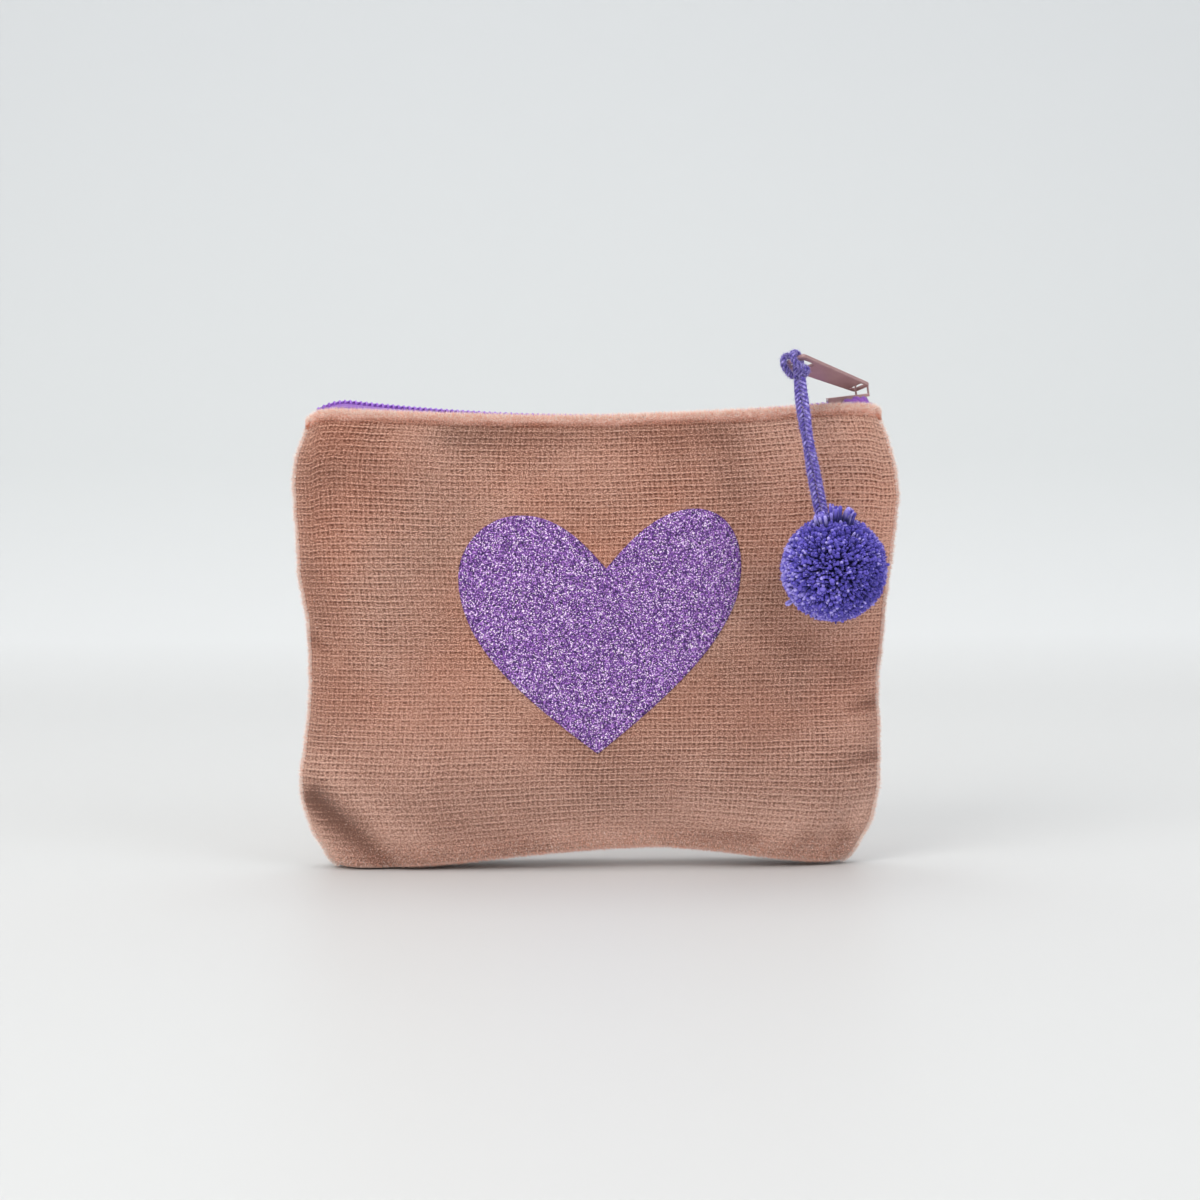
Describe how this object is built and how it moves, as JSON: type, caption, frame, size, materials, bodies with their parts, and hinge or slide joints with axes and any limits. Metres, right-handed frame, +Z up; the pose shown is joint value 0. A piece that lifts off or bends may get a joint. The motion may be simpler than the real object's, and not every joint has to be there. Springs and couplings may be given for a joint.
{
  "type": "cosmetic bag",
  "caption": "Small flat velvet cosmetic bag with a heart on the front, a coil zip along the top, and a pompom hung by a cord from the zip's pull tab.",
  "frame": {"origin": "on the ground under the middle of the bag's width and depth, taken with the tab, which reaches out in front, and without the cord and pompom", "axes": "+X along the zip towards the closed slider, +Y from front to back, +Z up"},
  "size_m": [0.1702, 0.058, 0.1444],
  "materials": {
    "velvet": "dusty rose ribbed velvet, matt pile",
    "lining_cotton": "plain woven lining, matt",
    "heart_film": "purple transfer with fine flakes",
    "zip_nylon": "purple nylon, semi gloss",
    "zip_cloth": "purple woven tape",
    "sewing_thread": "matt sewing thread",
    "coated_metal": "dull rose-brown coated zinc",
    "cord_yarn": "twisted purple yarn",
    "pompom_yarn": "cut blue-purple yarn, fluffy"
  },
  "bodies": {
    "bag": {"front_panel": "velvet", "back_panel": "velvet", "front_lining": "lining_cotton", "back_lining": "lining_cotton", "heart_print": "heart_film", "zip_tape_front": "zip_cloth", "zip_tape_back": "zip_cloth", "zip_coil_front": "zip_nylon", "zip_coil_back": "zip_nylon", "zip_core_front": "zip_cloth", "zip_core_back": "zip_cloth", "shell_seam_thread": "sewing_thread", "lining_seam_thread": "sewing_thread", "zip_seam_thread_front": "sewing_thread", "zip_seam_thread_back": "sewing_thread"},
    "slider": {"slider_body": "coated_metal"},
    "tab": {"pull_tab": "coated_metal"},
    "hitch": {"cord_hitch": "cord_yarn"},
    "cord": {"cord_strand_left": "cord_yarn", "cord_strand_right": "cord_yarn"},
    "pompom": {"pompom_yarn": "pompom_yarn", "pompom_tie": "cord_yarn"}
  },
  "joints": [
    {"name": "slider_travel", "type": "hinge", "parent": "bag", "child": "slider", "pos_m": [0.005, 0.00321, 0.7255], "axis": [0, 1, 0], "range_deg": [0, 12.9], "deforming": ["zip_coil_front", "zip_coil_back", "zip_core_front", "zip_core_back"]},
    {"name": "tab_flip", "type": "hinge", "parent": "slider", "child": "tab", "pos_m": [0.07361, 0.00321, 0.13347], "axis": [-0.6929, 0.6492, -0.3137], "range_deg": [0, 150]},
    {"name": "hitch_turn", "type": "hinge", "parent": "tab", "child": "hitch", "pos_m": [0.05357, -0.01458, 0.1409], "axis": [-0.6929, 0.6492, -0.3137], "range_deg": [0, 60]},
    {"name": "cord_swing", "type": "hinge", "parent": "hitch", "child": "cord", "pos_m": [0.05528, -0.01503, 0.13621], "axis": [0, 1, 0], "range_deg": [-15, 15]},
    {"name": "pompom_spin", "type": "hinge", "parent": "cord", "child": "pompom", "pos_m": [0.06368, -0.02562, 0.08461], "axis": [0.2094, -0.1994, -0.9573], "continuous": true}
  ]
}
